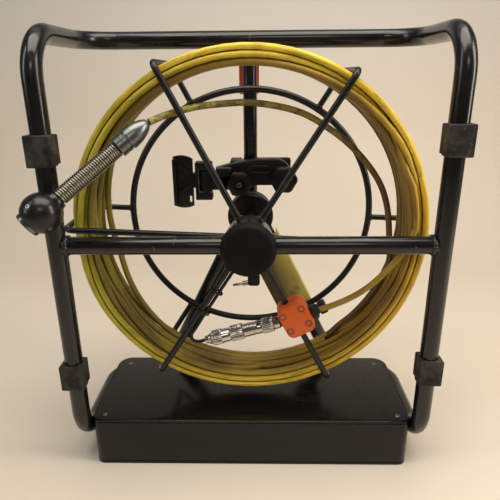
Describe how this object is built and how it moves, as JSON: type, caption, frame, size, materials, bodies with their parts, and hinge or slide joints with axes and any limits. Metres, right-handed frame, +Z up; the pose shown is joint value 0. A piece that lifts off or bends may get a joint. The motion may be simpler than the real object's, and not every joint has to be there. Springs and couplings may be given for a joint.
{
  "type": "inspection camera",
  "caption": "Pipe inspection camera: a push rod wound on a wire cage reel in a standing tube frame over a base box, with a camera head on a spring neck.",
  "frame": {"origin": "middle of the base's underside, on the surface it stands on", "axes": "+Z up, the front with the hub cap and camera head faces -Y, +X to the right seen from the front"},
  "size_m": [0.432, 0.2191, 0.498],
  "materials": {
    "frame_paint": "gloss black, worn along the edges",
    "cage_paint": "semi-gloss black",
    "bumper_rubber": "matt, scuffed",
    "base_shell": "gloss black with fine scratches",
    "battery_wrap": "shrink wrap",
    "black_plastic": "moulded, fine grain",
    "bearing_steel": "ground",
    "hub_steel": "turned, dulled",
    "shaft_steel": "oiled",
    "head_steel": "turned, worn",
    "ball_steel": "blackened steel, scuffed",
    "connector_nickel": "nickel plate, knurled",
    "junction_orange": "moulded, satin",
    "marker_orange": "satin",
    "rod_yellow": "satin, dirty in the grooves",
    "guard_yellow": "aged",
    "cable_rubber": "matt",
    "lens_glass": "polished"
  },
  "bodies": {
    "root": {"left_frame_tube": "frame_paint", "right_frame_tube": "frame_paint", "handle_bar": "frame_paint", "bottom_bar": "frame_paint", "left_crossbar": "frame_paint", "right_crossbar": "frame_paint", "left_rear_leg": "frame_paint", "right_rear_leg": "frame_paint", "rear_post": "frame_paint", "marker_plate": "marker_orange", "left_upper_bumper": "bumper_rubber", "left_lower_bumper": "bumper_rubber", "right_upper_bumper": "bumper_rubber", "right_lower_bumper": "bumper_rubber", "base_cover": "base_shell", "base_plate": "base_shell", "battery_pack": "battery_wrap", "front_hub_barrel": "frame_paint", "front_hub_cap": "black_plastic", "front_bearing": "bearing_steel", "rear_hub_housing": "hub_steel", "rear_bearing": "bearing_steel", "rod_lead": "rod_yellow", "rod_gland": "head_steel", "neck_spring": "head_steel", "clamp_body": "black_plastic", "leg_guard": "guard_yellow", "leg_collar": "black_plastic", "jack_lead": "cable_rubber", "jack_body": "black_plastic", "jack_pin": "connector_nickel"},
    "reel": {"reel_shaft": "shaft_steel", "spoke_flange": "cage_paint", "rear_rotor": "black_plastic", "cage_wire_1": "cage_paint", "cage_wire_2": "cage_paint", "cage_wire_3": "cage_paint", "cage_wire_4": "cage_paint", "cage_wire_5": "cage_paint", "cage_wire_6": "cage_paint", "rear_ring": "cage_paint", "rod_coil": "rod_yellow", "rod_tail": "rod_yellow", "junction_lid": "junction_orange", "junction_base": "junction_orange", "connector_socket": "connector_nickel", "connector_plug": "connector_nickel", "pigtail_cable": "cable_rubber"},
    "head": {"camera_body": "ball_steel", "ball_skid": "ball_steel", "lens_ring": "head_steel", "lens_window": "lens_glass"},
    "clamp_screw": {"clamp_knob": "black_plastic"},
    "jaw": {"clamp_jaw": "black_plastic"},
    "tilt_screw": {"tilt_knob": "black_plastic"},
    "arm": {"holder_arm": "black_plastic", "swivel_pin": "bearing_steel"},
    "cradle": {"swivel_fork": "black_plastic", "cradle_plate": "black_plastic"},
    "collar_screw": {"collar_knob": "black_plastic"}
  },
  "joints": [
    {"name": "reel_spin", "type": "hinge", "parent": "root", "child": "reel", "pos_m": [0, 0, 0.282], "axis": [0, -1, 0], "continuous": true},
    {"name": "neck_bend", "type": "hinge", "parent": "root", "child": "head", "pos_m": [-0.15362, -0.07955, 0.36052], "axis": [-0.6295, 0, 0.777], "range_deg": [0, 30], "stiffness_Nm_per_rad": 1.5, "deforming": ["neck_spring"]},
    {"name": "clamp_knob_turn", "type": "hinge", "parent": "root", "child": "clamp_screw", "pos_m": [0.041, 0.05, 0.327], "axis": [0, -1, 0], "range_deg": [0, 720]},
    {"name": "clamp_jaw_slide", "type": "slide", "parent": "root", "child": "jaw", "axis": [0, 1, 0], "range_m": [0, 0.0025]},
    {"name": "tilt_knob_turn", "type": "hinge", "parent": "root", "child": "tilt_screw", "pos_m": [-0.013, 0.033, 0.325], "axis": [0, -1, 0], "range_deg": [0, 180]},
    {"name": "holder_tilt", "type": "hinge", "parent": "root", "child": "arm", "pos_m": [-0.013, 0.047, 0.325], "axis": [0, -1, 0], "range_deg": [-35, 30]},
    {"name": "cradle_swivel", "type": "hinge", "parent": "arm", "child": "cradle", "pos_m": [-0.0545, 0.047, 0.327], "axis": [0, 0, 1], "range_deg": [-40, 40]},
    {"name": "collar_knob_turn", "type": "hinge", "parent": "root", "child": "collar_screw", "pos_m": [0.09957, 0.082, 0.13845], "axis": [0.8983, 0, 0.4394], "range_deg": [0, 360]}
  ],
  "couplings": [
    {"joint": "clamp_knob_turn", "follows": "clamp_jaw_slide", "rad_per_m": 5026.5}
  ]
}
